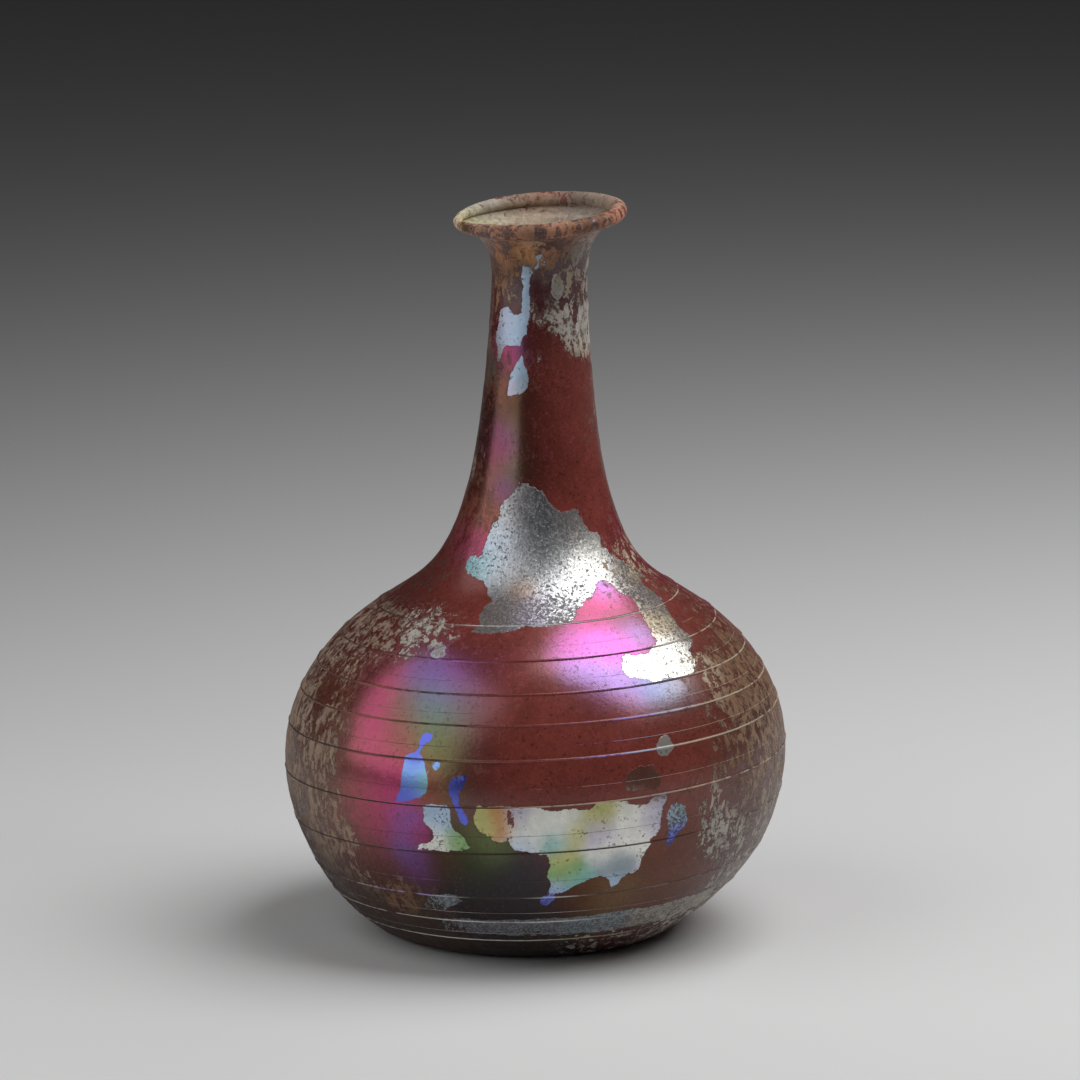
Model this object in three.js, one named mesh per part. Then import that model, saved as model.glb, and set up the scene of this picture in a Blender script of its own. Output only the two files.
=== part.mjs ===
// Roman glass unguentarium: a free-blown flask with a globular body, a tall tapering neck, a rim
// whose edge is folded inwards, and one thread of glass trailed round the body in a spiral.
// It is one piece of glass, hollow and open at the mouth, so it is one solid.
//
// Millimetres, +Z up. The origin is on the surface that the flask stands on, under the middle of
// its body. The front is -Y. Radii are from the flask's axis and heights are above the origin.

import * as THREE from "three";

// Body: a half ellipse above the widest level and a deeper one below it, cut short by the base
const BODY_RADIUS = 38;
const EQUATOR_HEIGHT = 27.3;
const DOME_RISE = 29.6;
const BOWL_DEPTH = 33;
const SHOULDER_ANGLE = THREE.MathUtils.degToRad(47);

// Base: a flat ring to stand on, round a shallow hollow
const BASE_RADIUS = 19;
const BASE_CORNER_HEIGHT = 1;
const BASE_CORNER_REACH = 0.6;
const KICK_RADIUS = 11;
const KICK_RISE = 0.8;

// Neck: it sweeps up from the shoulder, tapers to a waist and flares into the rim
const NECK_FOOT_RADIUS = 10.5;
const NECK_FOOT_HEIGHT = 68.6;
const NECK_FOOT_TAPER = 0.26;
const WAIST_RADIUS = 7.25;
const WAIST_HEIGHT = 100;
const SHOULDER_SWEEP = 9.4;
const NECK_FOOT_SWEEP = 14.7;
const NECK_SWEEP = 7.7;
const WAIST_SWEEP = 6.5;
const FLARE_SWEEP = 5.5;
const LIP_SWEEP = 2.2;
const FLARE_RISE = 0.32;

// Rim: a round lip, folded in and down so that a slit is left between it and the funnel
const RIM_RADIUS = 13;
const LIP_RADIUS = 1.15;
const LIP_HEIGHT = 108.9;
const LIP_FOOT_ANGLE = THREE.MathUtils.degToRad(-100);
const LIP_FOLD_ANGLE = THREE.MathUtils.degToRad(205);
const LIP_PINCH = 0.45;
const LIP_PINCH_SHARPNESS = 4;
const SLIT_DEPTH = 0.5;
const SLIT_GAP = 0.3;
const FUNNEL_TOP = 2.8;

// Wall thickness
const BASE_WALL = 3;
const BODY_WALL = 1.7;
const NECK_WALL = 2;
const FUNNEL_WALL = 0.7;

// Thread: the height of each turn where it crosses the front, wound by hand from base to shoulder
const TURN_HEIGHTS = [2.4, 4.4, 8.1, 12.6, 20.1, 27.3, 34, 38.8, 42.8, 47, 51.1, 54.6];
const THREAD_HALF_WIDTH = 0.5;
const THREAD_MARGIN = 0.5;
const THREAD_HEIGHT = 0.35;
const THREAD_TAPER_TURNS = 0.12;

// Hand-made unevenness: everything that isn't round, level or upright
const LEAN = 0.0087;
const BASE_SHIFT = -1.4;
const BASE_SHIFT_HEIGHT = 16;
const BODY_TILT = 0.014;
const RIM_TILT_RIGHT = 0.068;
const RIM_TILT_BACK = 0.06;
const RIM_TILT_START = 94;

// Fineness of the faceted surface. Crowded rows are closer together towards the rim.
const COLUMNS = 48;
const NECK_ROWS = 13;
const NECK_CROWDING = 1.3;
const LIP_ROWS = 7;
const INNER_ROWS = 20;
const INNER_CROWDING = 1.2;
const OUTLINE_SAMPLES = 600;

const { lerp, smoothstep } = THREE.MathUtils;
const at = (radius, height) => new THREE.Vector2(radius, height);
const along = (start, direction, length) => start.clone().addScaledVector(direction, length);

// The flask's outline

function bodyPoint(angle) {
  const rise = angle < 0 ? BOWL_DEPTH : DOME_RISE;
  return at(BODY_RADIUS * Math.cos(angle), EQUATOR_HEIGHT + rise * Math.sin(angle));
}

// A point on the round of the lip, from straight out at no angle to the top at a right angle
function lipPoint(angle, thickness = LIP_RADIUS) {
  const radius = RIM_RADIUS - thickness + thickness * Math.cos(angle);
  return at(radius, LIP_HEIGHT + thickness * Math.sin(angle));
}

function bodyOutline() {
  const cornerAngle = -Math.asin((EQUATOR_HEIGHT - BASE_CORNER_HEIGHT) / BOWL_DEPTH);
  const corner = bodyPoint(cornerAngle);
  const edge = at(lerp(BASE_RADIUS, corner.x, BASE_CORNER_REACH), 0);
  const outline = new THREE.CurvePath();
  outline.add(new THREE.QuadraticBezierCurve(at(BASE_RADIUS, 0), edge, corner));
  outline.add(new THREE.EllipseCurve(0, EQUATOR_HEIGHT, BODY_RADIUS, BOWL_DEPTH, cornerAngle, 0));
  outline.add(new THREE.EllipseCurve(0, EQUATOR_HEIGHT, BODY_RADIUS, DOME_RISE, 0, SHOULDER_ANGLE));
  outline.add(shoulderCurve());
  outline.add(neckCurve());
  outline.add(flareCurve());
  return outline;
}

function shoulderCurve() {
  const start = bodyPoint(SHOULDER_ANGLE);
  const slope = at(-BODY_RADIUS * Math.sin(SHOULDER_ANGLE), DOME_RISE * Math.cos(SHOULDER_ANGLE));
  const end = at(NECK_FOOT_RADIUS, NECK_FOOT_HEIGHT);
  const rising = at(-NECK_FOOT_TAPER, 1).normalize();
  const first = along(start, slope.normalize(), SHOULDER_SWEEP);
  return new THREE.CubicBezierCurve(start, first, along(end, rising, -NECK_FOOT_SWEEP), end);
}

function neckCurve() {
  const start = at(NECK_FOOT_RADIUS, NECK_FOOT_HEIGHT);
  const end = at(WAIST_RADIUS, WAIST_HEIGHT);
  const first = along(start, at(-NECK_FOOT_TAPER, 1).normalize(), NECK_SWEEP);
  return new THREE.CubicBezierCurve(start, first, along(end, at(0, 1), -WAIST_SWEEP), end);
}

function flareCurve() {
  const start = at(WAIST_RADIUS, WAIST_HEIGHT);
  const end = lipPoint(LIP_FOOT_ANGLE);
  const outwards = at(1, FLARE_RISE).normalize();
  const first = along(start, at(0, 1), FLARE_SWEEP);
  return new THREE.CubicBezierCurve(start, first, along(end, outwards, -LIP_SWEEP), end);
}

const outline = bodyOutline();
const outlineLength = outline.getLength();
const outlinePoints = outline.getSpacedPoints(OUTLINE_SAMPLES);

// How far along the outline a given height is reached
function distanceAtHeight(height) {
  const next = outlinePoints.findIndex((point) => point.y >= height);
  const low = outlinePoints[next - 1];
  const high = outlinePoints[next];
  const part = (height - low.y) / (high.y - low.y);
  return ((next - 1 + part) / OUTLINE_SAMPLES) * outlineLength;
}

// A point of the outline moved outwards, square to the surface
function outlinePoint(distance, outwards = 0) {
  const part = distance / outlineLength;
  const tangent = outline.getTangent(part);
  return along(outline.getPoint(part), at(tangent.y, -tangent.x), outwards);
}

function wallThickness(height) {
  const low = lerp(BASE_WALL, BODY_WALL, smoothstep(height, 0, EQUATOR_HEIGHT / 2));
  const middle = lerp(low, NECK_WALL, smoothstep(height, EQUATOR_HEIGHT, NECK_FOOT_HEIGHT));
  return lerp(middle, FUNNEL_WALL, smoothstep(height, WAIST_HEIGHT, LIP_HEIGHT));
}

// From the true, upright shape to the one that was blown: the neck leans, the body sits a little
// tilted on a base pushed to one side, and the rim is higher at the right and the back
function asBlown(radius, height, angle) {
  const x = radius * Math.cos(angle);
  const y = radius * Math.sin(angle);
  const shift = BASE_SHIFT * (1 - smoothstep(height, 0, BASE_SHIFT_HEIGHT));
  const bodyTilt = BODY_TILT * smoothstep(height, 0, EQUATOR_HEIGHT)
    * (1 - smoothstep(height, EQUATOR_HEIGHT, WAIST_HEIGHT));
  const rim = smoothstep(height, RIM_TILT_START, LIP_HEIGHT);
  const lift = bodyTilt * x + rim * (RIM_TILT_RIGHT * x + RIM_TILT_BACK * y);
  return new THREE.Vector3(x + shift + LEAN * (height - EQUATOR_HEIGHT), y, height + lift);
}

// The surface, built from rings of points and one spiral band

const positions = [];
const triangles = [];
const columnAngle = (column) => Math.PI / 2 + (2 * Math.PI * column) / COLUMNS;

function addPoint(radius, height, column) {
  positions.push(...asBlown(radius, height, columnAngle(column)));
  return positions.length / 3 - 1;
}

function addRing(pointOf) {
  return Array.from({ length: COLUMNS }, (_, column) => {
    const { x, y } = pointOf(columnAngle(column));
    return addPoint(x, y, column);
  });
}

function addQuad(a, b, c, d) {
  triangles.push(a, b, c, a, c, d);
}

function joinRings(lower, upper) {
  for (let column = 0; column < COLUMNS; column++) {
    const next = (column + 1) % COLUMNS;
    addQuad(lower[column], lower[next], upper[next], upper[column]);
  }
}

function fillRing(centre, ring) {
  for (let column = 0; column < COLUMNS; column++) {
    triangles.push(centre, ring[column], ring[(column + 1) % COLUMNS]);
  }
}

function addFan(apex, edge) {
  for (let i = 0; i + 1 < edge.length; i++) triangles.push(apex, edge[i], edge[i + 1]);
}

// The thread's crest, as a distance along the outline, at a number of turns from its lower end
const turnDistances = TURN_HEIGHTS.map(distanceAtHeight);
const windingCurve = new THREE.SplineCurve(turnDistances.map((distance, turn) => at(turn, distance)));
const LAST_TURN = TURN_HEIGHTS.length - 1;
const START_TURN = 0.5;
const crestDistance = (turn) => windingCurve.getPoint(turn / LAST_TURN).y;

// Five points across one pitch of the spiral: the thread's lower foot, crest and upper foot, and
// the two edges of the plain wall above it. TOP is the last of them.
const TOP = 4;

function addSpiralStation(step) {
  const turn = START_TURN + step / COLUMNS;
  const crest = crestDistance(turn);
  const gap = crestDistance(Math.min(turn + 1, LAST_TURN)) - crest;
  const fromEnd = Math.min(turn - START_TURN, LAST_TURN - START_TURN - turn);
  const height = THREAD_HEIGHT * smoothstep(fromEnd, 0, THREAD_TAPER_TURNS);
  const margin = THREAD_HALF_WIDTH + THREAD_MARGIN;
  const across = [
    [-THREAD_HALF_WIDTH, 0], [0, height], [THREAD_HALF_WIDTH, 0], [margin, 0], [gap - margin, 0],
  ];
  return across.map(([offset, outwards]) => {
    const { x, y } = outlinePoint(crest + offset, outwards);
    return addPoint(x, y, step % COLUMNS);
  });
}

// The spiral band climbs one pitch in each turn, so a turn's upper edge is the next one's lower
// edge. Its two wedge-shaped ends are closed against the plain rings below and above.
function addSpiral(ringBelow, ringAbove) {
  const steps = (LAST_TURN - 2 * START_TURN) * COLUMNS;
  const stations = Array.from({ length: steps + 1 }, (_, step) => addSpiralStation(step));
  for (let step = 0; step < steps; step++) {
    const here = stations[step];
    const next = stations[step + 1];
    for (let i = 0; i < TOP; i++) addQuad(here[i], next[i], next[i + 1], here[i + 1]);
    if (step + COLUMNS >= steps) continue;
    addQuad(here[TOP], next[TOP], stations[step + 1 + COLUMNS][0], stations[step + COLUMNS][0]);
  }
  closeBelow(stations, ringBelow);
  closeAbove(stations, ringAbove);
}

function closeBelow(stations, ring) {
  for (let column = 0; column < COLUMNS - 1; column++) {
    addQuad(ring[column], ring[column + 1], stations[column + 1][0], stations[column][0]);
  }
  const edge = [ring[COLUMNS - 1], ring[0], ...stations[0], stations[COLUMNS][0]];
  addFan(stations[COLUMNS - 1][0], edge);
}

function closeAbove(stations, ring) {
  const first = stations.length - 1 - COLUMNS;
  const last = stations.length - 1;
  const seam = [...stations[last]].reverse();
  const apex = stations[first + 1][TOP];
  addFan(apex, [ring[1], ring[0], ...seam, stations[first][TOP]]);
  for (let column = 1; column < COLUMNS; column++) {
    const next = (column + 1) % COLUMNS;
    const [low, lowNext] = [stations[first + column][TOP], stations[first + column + 1][TOP]];
    addQuad(low, lowNext, ring[next], ring[column]);
  }
}

// The lip is thick and round at the front and right, and worn thin at the left
function lipThickness(angle) {
  const left = Math.max(0, -Math.cos(angle)) ** LIP_PINCH_SHARPNESS;
  return LIP_RADIUS * (1 - LIP_PINCH * left);
}

function addUnderside() {
  const centre = addPoint(0, KICK_RISE, 0);
  const kick = addRing(() => at(KICK_RADIUS, 0));
  const base = addRing(() => at(BASE_RADIUS, 0));
  fillRing(centre, kick.slice().reverse());
  joinRings(kick, base);
  return base;
}

// Rings up the outside, over the lip and down the inside, in that order
function addNeck(shoulder) {
  let ring = shoulder;
  const climb = (pointOf) => {
    const next = addRing(pointOf);
    joinRings(ring, next);
    ring = next;
  };
  const start = crestDistance(LAST_TURN);
  for (let row = 1; row < NECK_ROWS; row++) {
    const distance = lerp(start, outlineLength, 1 - (1 - row / NECK_ROWS) ** NECK_CROWDING);
    climb(() => outlinePoint(distance));
  }
  for (let row = 0; row <= LIP_ROWS; row++) {
    const lipAngle = lerp(LIP_FOOT_ANGLE, LIP_FOLD_ANGLE, row / LIP_ROWS);
    climb((angle) => lipPoint(lipAngle, lipThickness(angle)));
  }
  climb((angle) => lipPoint(LIP_FOLD_ANGLE, lipThickness(angle)).add(at(SLIT_DEPTH, -SLIT_GAP)));
  return ring;
}

function addInside(slit) {
  let ring = slit;
  const top = outlineLength - FUNNEL_TOP;
  for (let row = 0; row <= INNER_ROWS; row++) {
    const distance = top * (1 - (row / INNER_ROWS) ** INNER_CROWDING);
    const wall = wallThickness(outlinePoint(distance).y);
    const next = addRing(() => outlinePoint(distance, -wall));
    joinRings(ring, next);
    ring = next;
  }
  const floor = addRing(() => at(KICK_RADIUS, BASE_WALL));
  joinRings(ring, floor);
  fillRing(addPoint(0, BASE_WALL + KICK_RISE / 2, 0), floor);
}

function buildFlask() {
  const base = addUnderside();
  const corner = addRing(() => outlinePoint(distanceAtHeight(BASE_CORNER_HEIGHT)));
  const shoulder = addRing(() => outlinePoint(crestDistance(LAST_TURN)));
  joinRings(base, corner);
  addSpiral(corner, shoulder);
  addInside(addNeck(shoulder));

  const geometry = new THREE.BufferGeometry();
  geometry.setAttribute("position", new THREE.Float32BufferAttribute(positions, 3));
  geometry.setIndex(triangles);
  geometry.computeVertexNormals();
  const glass = new THREE.MeshStandardMaterial({ color: 0x5b2226, roughness: 0.3, metalness: 0.1 });
  const flask = new THREE.Mesh(geometry, glass);
  flask.name = "flask";
  return flask;
}

const unguentarium = new THREE.Group();
unguentarium.add(buildFlask());

export default unguentarium;
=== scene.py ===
import math

import bpy
import numpy as np
from bpy.props import FloatProperty, FloatVectorProperty, PointerProperty
from bpy.types import Operator, Panel, PropertyGroup
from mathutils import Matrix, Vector, noise


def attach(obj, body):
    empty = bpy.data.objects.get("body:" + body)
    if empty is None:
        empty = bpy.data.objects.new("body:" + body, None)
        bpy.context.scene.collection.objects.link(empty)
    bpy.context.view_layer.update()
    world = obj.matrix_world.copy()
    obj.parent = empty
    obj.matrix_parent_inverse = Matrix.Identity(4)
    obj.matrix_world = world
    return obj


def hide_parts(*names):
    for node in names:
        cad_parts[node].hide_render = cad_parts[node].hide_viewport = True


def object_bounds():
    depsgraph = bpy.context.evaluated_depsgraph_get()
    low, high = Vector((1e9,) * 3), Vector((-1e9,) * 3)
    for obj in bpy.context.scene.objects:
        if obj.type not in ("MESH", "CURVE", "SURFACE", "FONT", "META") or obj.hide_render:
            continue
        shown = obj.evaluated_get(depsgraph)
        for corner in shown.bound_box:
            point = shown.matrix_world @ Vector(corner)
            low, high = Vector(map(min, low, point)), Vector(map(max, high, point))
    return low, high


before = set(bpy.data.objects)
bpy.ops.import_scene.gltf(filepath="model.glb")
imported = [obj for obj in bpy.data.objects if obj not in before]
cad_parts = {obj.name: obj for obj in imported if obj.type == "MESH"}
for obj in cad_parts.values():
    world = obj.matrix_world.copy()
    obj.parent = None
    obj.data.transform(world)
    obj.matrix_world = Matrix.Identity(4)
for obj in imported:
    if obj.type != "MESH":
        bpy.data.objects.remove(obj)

bl_info = {
    "name": "Roman glass unguentarium",
    "version": (1, 0, 0),
    "blender": (4, 5, 0),
    "location": "3D View > Sidebar > Unguentarium",
    "description": "Blows the flask, weathers its surface and sets the studio stage",
    "category": "Object",
}

MM = 0.001
CAD_LOW, CAD_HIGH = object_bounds()

# ---------------------------------------------------------------------------------------------
# The flask's form, in millimetres: the same outline, lean and thread as the solid it dresses
# ---------------------------------------------------------------------------------------------

BODY_RADIUS, EQUATOR_HEIGHT = 38.0, 27.3
DOME_RISE, BOWL_DEPTH = 29.6, 33.0
SHOULDER_ANGLE = math.radians(47)
BASE_RADIUS, BASE_CORNER_HEIGHT, BASE_CORNER_REACH = 19.0, 1.0, 0.6
KICK_RADIUS, KICK_RISE = 11.0, 0.8
NECK_FOOT_RADIUS, NECK_FOOT_HEIGHT, NECK_FOOT_TAPER = 10.5, 68.6, 0.26
WAIST_RADIUS, WAIST_HEIGHT = 7.25, 100.0
SHOULDER_SWEEP, NECK_FOOT_SWEEP, NECK_SWEEP = 9.4, 14.7, 7.7
WAIST_SWEEP, FLARE_SWEEP, LIP_SWEEP, FLARE_RISE = 6.5, 5.5, 2.2, 0.32
RIM_RADIUS, LIP_RADIUS, LIP_HEIGHT = 13.0, 1.15, 108.9
LIP_FOOT_ANGLE, LIP_FOLD_ANGLE = math.radians(-100), math.radians(205)
LIP_PINCH, LIP_PINCH_SHARPNESS = 0.45, 4
SLIT_DEPTH, SLIT_GAP, FUNNEL_TOP = 0.5, 0.3, 2.8
BASE_WALL, BODY_WALL, NECK_WALL, FUNNEL_WALL = 3.0, 1.7, 2.0, 0.7
TURN_HEIGHTS = [2.4, 4.4, 8.1, 12.6, 20.1, 27.3, 34, 38.8, 42.8, 47, 51.1, 54.6]
THREAD_START, THREAD_END, THREAD_TAPER_TURNS = 0.5, 10.5, 0.12
LEAN, BODY_TILT = 0.0087, 0.014
BASE_SHIFT, BASE_SHIFT_HEIGHT = -1.4, 16.0
RIM_TILT_RIGHT, RIM_TILT_BACK, RIM_TILT_START = 0.068, 0.06, 94.0

# A depth or distance, in mm, past which nothing shows, and the widest flake's reach in degrees
FAR, WIDEST_REACH = 9.0, 110

# Sizes of the swells in the noise that bends the flakes, waves the wall and roughens the crusts,
# each with its own start, and how far the flakes are bent, in mm
WANDER_SIZE, WAVE_SIZE, LUMP_SIZE = 2.5, 14, 1.6
SECOND_WANDER, LUMP_START = 7.3, 3.1
WANDER_REACH = 0.3
SMALLEST_RADIUS = 3

# Fineness of the mesh: columns round the flask and rows along its outline
COLUMNS = 300
PLAIN_STEPS, THREAD_ROWS = (0, 0.4, 0.75, 0.96), 6
NECK_ROWS, LIP_ROWS, INNER_ROWS, BASE_ROWS = 72, 26, 30, 8
INNER_CROWDING = 1.7


def lerp(start, end, part):
    return start + (end - start) * part


def smoothstep(value, low, high):
    part = np.clip((value - low) / (high - low), 0, 1)
    return part * part * (3 - 2 * part)


def body_point(angle):
    rise = np.where(angle < 0, BOWL_DEPTH, DOME_RISE)
    return np.stack([BODY_RADIUS * np.cos(angle), EQUATOR_HEIGHT + rise * np.sin(angle)], -1)


def lip_point(angle, thickness=LIP_RADIUS):
    radius = RIM_RADIUS - thickness + thickness * np.cos(angle)
    return np.stack([radius, LIP_HEIGHT + thickness * np.sin(angle)], -1)


def bezier(*handles, samples=160):
    part = np.linspace(0, 1, samples)[:, None]
    points = [np.array(handle, float) for handle in handles]
    while len(points) > 1:
        points = [lerp(a, b, part) for a, b in zip(points, points[1:])]
    return points[0]


def direction(*vector):
    return np.array(vector, float) / np.hypot(*vector)


class Outline:
    """The outline from the base ring to the foot of the lip, by the distance along it"""

    def __init__(self):
        corner_angle = -math.asin((EQUATOR_HEIGHT - BASE_CORNER_HEIGHT) / BOWL_DEPTH)
        corner = body_point(np.array(corner_angle))
        edge = (lerp(BASE_RADIUS, corner[0], BASE_CORNER_REACH), 0)
        shoulder = body_point(np.array(SHOULDER_ANGLE))
        falling = direction(-BODY_RADIUS * math.sin(SHOULDER_ANGLE),
                            DOME_RISE * math.cos(SHOULDER_ANGLE))
        foot = np.array([NECK_FOOT_RADIUS, NECK_FOOT_HEIGHT])
        tapering = direction(-NECK_FOOT_TAPER, 1)
        waist = np.array([WAIST_RADIUS, WAIST_HEIGHT])
        up = direction(0, 1)
        lip = lip_point(np.array(LIP_FOOT_ANGLE))
        flaring = direction(1, FLARE_RISE)
        points = np.concatenate([
            bezier((BASE_RADIUS, 0), edge, corner),
            body_point(np.linspace(corner_angle, 0, 300)),
            body_point(np.linspace(0, SHOULDER_ANGLE, 200)),
            bezier(shoulder, shoulder + SHOULDER_SWEEP * falling,
                   foot - NECK_FOOT_SWEEP * tapering, foot),
            bezier(foot, foot + NECK_SWEEP * tapering, waist - WAIST_SWEEP * up, waist),
            bezier(waist, waist + FLARE_SWEEP * up, lip - LIP_SWEEP * flaring, lip),
        ])
        steps = np.hypot(*np.diff(points, axis=0).T)
        self.points = np.delete(points, 1 + np.flatnonzero(steps < 1e-9), axis=0)
        steps = np.hypot(*np.diff(self.points, axis=0).T)
        self.distances = np.concatenate([[0], np.cumsum(steps)])
        self.length = self.distances[-1]
        slopes = np.gradient(self.points, self.distances, axis=0)
        self.normals = np.stack([slopes[:, 1], -slopes[:, 0]], -1)

    def at_height(self, height):
        """The distance at which a height is reached. Past the top it goes on over the lip"""
        height = np.asarray(height, float)
        beyond = np.maximum(0, height - LIP_FOOT_HEIGHT)
        return np.interp(height, self.points[:, 1], self.distances) + beyond

    def point(self, distance, outwards=0.0):
        """Radius and height there, moved outwards square to the surface"""
        place = [np.interp(distance, self.distances, self.points[:, i]) for i in (0, 1)]
        normal = [np.interp(distance, self.distances, self.normals[:, i]) for i in (0, 1)]
        size = np.hypot(*normal)
        return [place[i] + outwards * normal[i] / size for i in (0, 1)]


LIP_FOOT_HEIGHT = float(lip_point(np.array(LIP_FOOT_ANGLE))[1])
OUTLINE = Outline()
BASE_CORNER = float(OUTLINE.at_height(BASE_CORNER_HEIGHT))
TURN_DISTANCES = OUTLINE.at_height(TURN_HEIGHTS)
THREAD_TOP = float(TURN_DISTANCES[-1])


def crest_distance(turn):
    """Where the thread's crest lies along the outline, as a smooth curve through its turns"""
    turn = np.clip(turn, 0, len(TURN_DISTANCES) - 1)
    low = np.minimum(turn.astype(int), len(TURN_DISTANCES) - 2)
    part = turn - low
    before, start, end, after = (
        TURN_DISTANCES[np.clip(low + i, 0, len(TURN_DISTANCES) - 1)] for i in (-1, 0, 1, 2))
    leaving, arriving = (end - before) / 2, (after - start) / 2
    return (start + leaving * part
            + (3 * (end - start) - 2 * leaving - arriving) * part ** 2
            + (2 * (start - end) + leaving + arriving) * part ** 3)


def wall_thickness(height):
    low = lerp(BASE_WALL, BODY_WALL, smoothstep(height, 0, EQUATOR_HEIGHT / 2))
    middle = lerp(low, NECK_WALL, smoothstep(height, EQUATOR_HEIGHT, NECK_FOOT_HEIGHT))
    return lerp(middle, FUNNEL_WALL, smoothstep(height, WAIST_HEIGHT, LIP_HEIGHT))


def as_blown(radius, height, angle):
    """From the true, upright form to the leaning one, in the frame of the solid"""
    x, y = radius * np.cos(angle), radius * np.sin(angle)
    shift = BASE_SHIFT * (1 - smoothstep(height, 0, BASE_SHIFT_HEIGHT))
    tilt = (BODY_TILT * smoothstep(height, 0, EQUATOR_HEIGHT)
            * (1 - smoothstep(height, EQUATOR_HEIGHT, WAIST_HEIGHT)))
    rim = smoothstep(height, RIM_TILT_START, LIP_HEIGHT)
    lift = tilt * x + rim * (RIM_TILT_RIGHT * x + RIM_TILT_BACK * y)
    return np.stack([x + shift + LEAN * (height - EQUATOR_HEIGHT), y, height + lift], -1)


def noise_at(points, size, offset=0.0):
    """Smooth noise from -1 to 1 at each point, with swells about as wide as the size"""
    place = Vector((offset, 2 * offset, -offset))
    return np.array([noise.noise(Vector(point) / size + place) for point in points])


# ---------------------------------------------------------------------------------------------
# Weathering, with painted shade low on the body and painted light and shade along the thread.
# Places on the surface are an angle from the front, in degrees and to the right, and a height in
# millimetres. Past the foot of the lip the height counts on over the lip's round, up to 114, and
# down the inside of the funnel.
# ---------------------------------------------------------------------------------------------

COLOURS = {
    "wine": ("Wine red", "The glass where its skin is clean", (0.30, 0.062, 0.046)),
    "claret": ("Claret", "The glass in its darker parts", (0.13, 0.028, 0.022)),
    "russet": ("Russet", "The glass where it turns brown", (0.17, 0.058, 0.034)),
    # Soot: the black of the pits, and the painted shade low on the front of the body
    "soot": ("Soot", "The glass where it looks black", (0.026, 0.012, 0.011)),
    "magenta": ("Magenta film", "Thin iridescent film", (0.62, 0.05, 0.24)),
    "rose": ("Rose film", "Paler thin film", (0.55, 0.13, 0.17)),
    "orange": ("Orange-brown film", "Thinnest film", (0.34, 0.13, 0.07)),
    "violet": ("Violet film", "Film between magenta and blue", (0.25, 0.08, 0.38)),
    "blue": ("Blue film", "Film of middling thickness", (0.16, 0.16, 0.62)),
    "teal": ("Teal film", "Film between blue and green", (0.12, 0.26, 0.28)),
    "green": ("Green film", "Thick film", (0.13, 0.22, 0.07)),
    "olive": ("Olive film", "Thick film between green and yellow", (0.20, 0.16, 0.04)),
    "slate": ("Slate film", "Dull grey film", (0.12, 0.12, 0.14)),
    # The next three films are dark partly as film colour and partly as painted shade over the
    # lower body
    "pine": ("Dark green film", "Thick film over the dark lower part", (0.030, 0.055, 0.018)),
    "ash": ("Dark grey film", "Dull film over the dark lower part", (0.035, 0.038, 0.045)),
    "rust": ("Rust film", "Brown film over the dark lower part", (0.10, 0.035, 0.012)),
    "pink": ("Bright pink film", "Film that faces the large lamp", (0.80, 0.16, 0.70)),
    "lavender": ("Lavender film", "Pale violet film", (0.42, 0.30, 0.80)),
    "silver": ("Silver skin", "Flaking silvery layer", (0.66, 0.67, 0.69)),
    "steel": ("Grey silver skin", "Worn silvery layer", (0.28, 0.30, 0.34)),
    "dove": ("Dove-grey skin", "Brownish silvery layer", (0.34, 0.30, 0.29)),
    "pearl": ("Pearl skin", "White opal layer", (0.86, 0.86, 0.80)),
    "ice": ("Ice-blue skin", "Bluish opal layer", (0.46, 0.60, 0.78)),
    "mist": ("Grey-blue skin", "Dull blue-grey opal layer", (0.30, 0.37, 0.42)),
    "lilac": ("Lilac skin", "Faintly violet opal layer", (0.60, 0.55, 0.68)),
    "lemon": ("Yellow skin", "Yellow-green opal layer", (0.56, 0.54, 0.22)),
    "amber": ("Amber skin", "Orange opal layer", (0.58, 0.28, 0.10)),
    "mint": ("Green skin", "Green opal layer", (0.28, 0.46, 0.20)),
    "aqua": ("Blue-green skin", "Opal layer between green and blue", (0.24, 0.52, 0.50)),
    "cobalt": ("Cobalt flakes", "Strong blue flakes", (0.14, 0.17, 0.70)),
    "sky": ("Sky-blue flakes", "Pale blue flakes", (0.24, 0.42, 0.85)),
    "cream": ("Cream crust", "Pale earthy crust", (0.52, 0.43, 0.31)),
    "chalk": ("Chalk crust", "Grey-white earthy crust", (0.40, 0.37, 0.33)),
    "buff": ("Buff crust", "Beige earthy crust", (0.27, 0.185, 0.135)),
    "tan": ("Tan crust", "Brown earthy crust", (0.17, 0.085, 0.042)),
    # Umber: dark earth in crusts, pits and stains, and the painted shadow along the thread
    "umber": ("Dark crust", "Dark brown earth", (0.045, 0.025, 0.018)),
    "peach": ("Peach crust", "Pinkish crust on the lip", (0.40, 0.175, 0.10)),
}

# Each tone is a soft region of the surface, listed under its colour: angle, height, half width
# and amount. At any point the nearest tones blend. The amount is how strongly the film covers the
# glass, how worn a skin is, or how much of the surface a crust or the thread's line covers.
# Among the glass tones, the soot spots low on the front and the claret ones at heights 15 and 8
# are painted shade: the lower body is darkened towards the foot
GLASS_TONES = {
    "wine": [
        (0, 36, 16, 1), (30, 34, 14, 1), (-25, 52, 12, 1), (55, 52, 9, 1), (35, 82, 6, 1),
        (60, 76, 8, 1), (180, 40, 30, 1)],
    "claret": [
        (-62, 50, 10, 1), (0, 78, 8, 1), (5, 98, 5, 1), (-40, 15, 8, 1), (50, 8, 10, 1),
        (120, 20, 20, 1), (-120, 20, 20, 1), (150, 80, 12, 1), (-150, 80, 12, 1)],
    "russet": [(-60, 34, 14, 1), (60, 38, 14, 1), (32, 18, 7, 1), (20, 12, 6, 1), (0, 116, 8, 1)],
    "soot": [
        (-75, 78, 8, 1), (0, 16, 9, 1), (-22, 17, 8, 1), (0, 8, 6, 1), (-50, 8, 10, 1),
        (0, 2, 6, 1)],
}
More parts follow.
